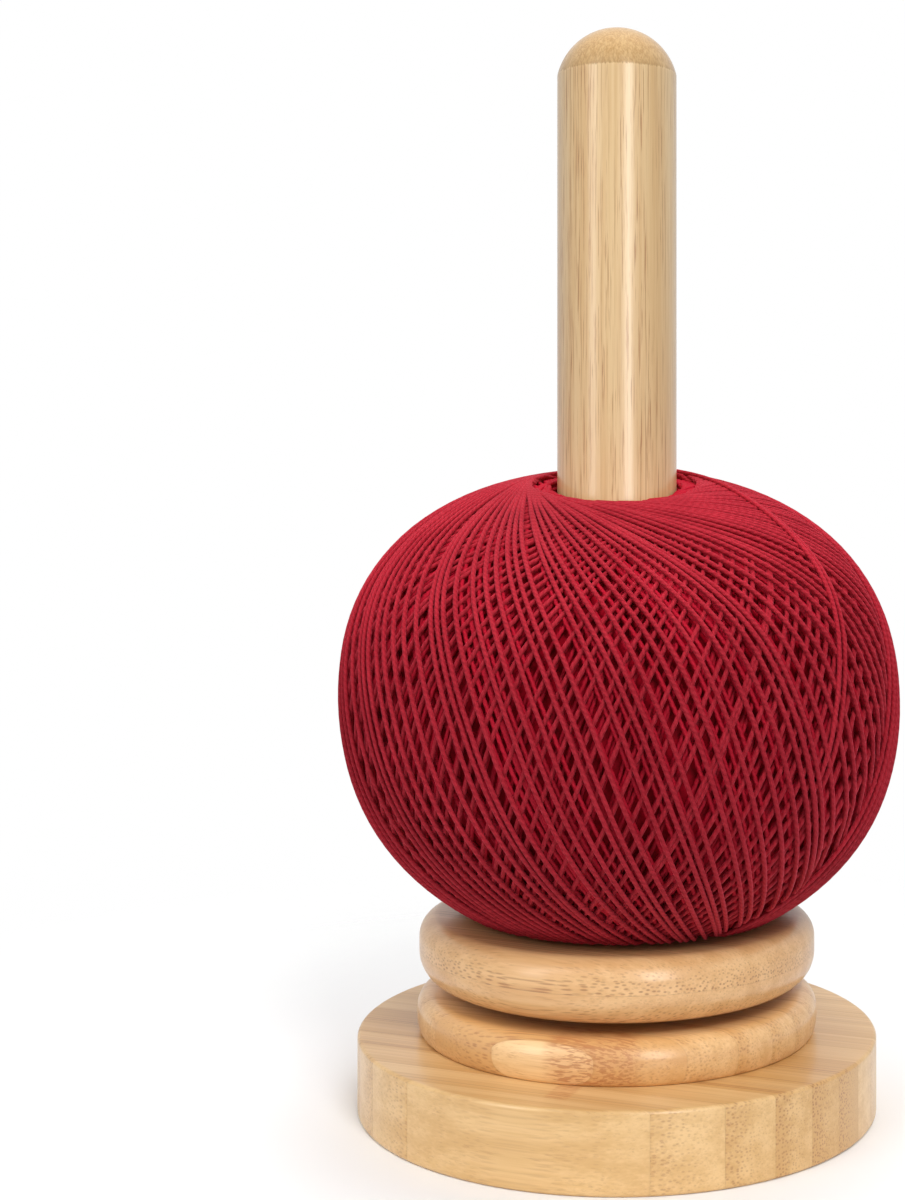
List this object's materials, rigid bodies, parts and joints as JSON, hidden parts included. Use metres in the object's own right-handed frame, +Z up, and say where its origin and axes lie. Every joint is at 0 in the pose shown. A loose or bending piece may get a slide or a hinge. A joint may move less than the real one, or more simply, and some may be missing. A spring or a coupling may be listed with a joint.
{
  "type": "yarn ball holder",
  "caption": "Free-standing bamboo yarn ball holder: a round base with a turntable and tall spindle that spin on a peg, loaded with a ball of crimson cotton thread.",
  "frame": {"origin": "centre of the base board's underside, on the turning axis", "axes": "+Z up along the spindle; the picture looks along +Y with +X to the right"},
  "size_m": [0.1086, 0.1086, 0.2081],
  "materials": {
    "base_bamboo": "pale edge-glued bamboo, clear satin lacquer",
    "disc_bamboo": "honey bamboo, clear satin lacquer",
    "peg_bamboo": "sanded bamboo dowel",
    "spindle_bamboo": "bamboo dowel with fine brown streaks, clear satin lacquer",
    "thread": "crimson mercerised cotton thread",
    "thread_core": "crimson cotton thread, wound tight"
  },
  "bodies": {
    "base": {"base_stave_01": "base_bamboo", "base_stave_02": "base_bamboo", "base_stave_03": "base_bamboo", "base_stave_04": "base_bamboo", "base_stave_05": "base_bamboo", "base_stave_06": "base_bamboo", "base_stave_07": "base_bamboo", "base_stave_08": "base_bamboo", "base_stave_09": "base_bamboo", "base_stave_10": "base_bamboo", "base_stave_11": "base_bamboo", "base_stave_12": "base_bamboo", "base_stave_13": "base_bamboo", "base_stave_14": "base_bamboo", "lower_disc_stave_01": "disc_bamboo", "lower_disc_stave_02": "disc_bamboo", "lower_disc_stave_03": "disc_bamboo", "lower_disc_stave_04": "disc_bamboo", "lower_disc_stave_05": "disc_bamboo", "lower_disc_stave_06": "disc_bamboo", "lower_disc_stave_07": "disc_bamboo", "lower_disc_stave_08": "disc_bamboo", "lower_disc_stave_09": "disc_bamboo", "lower_disc_stave_10": "disc_bamboo", "lower_disc_stave_11": "disc_bamboo", "axle_peg": "peg_bamboo"},
    "spinner": {"turntable_lower_ply": "disc_bamboo", "turntable_upper_ply": "disc_bamboo", "spindle": "spindle_bamboo"},
    "yarn_ball": {"yarn_core": "thread_core", "yarn_winding": "thread"}
  },
  "joints": [
    {"name": "turntable_spin", "type": "hinge", "parent": "base", "child": "spinner", "pos_m": [0, 0, 0.0735], "axis": [0, 0, 1], "continuous": true},
    {"name": "yarn_ball_lift", "type": "slide", "parent": "spinner", "child": "yarn_ball", "axis": [0, 0, 1], "range_m": [0, 0.172]}
  ]
}
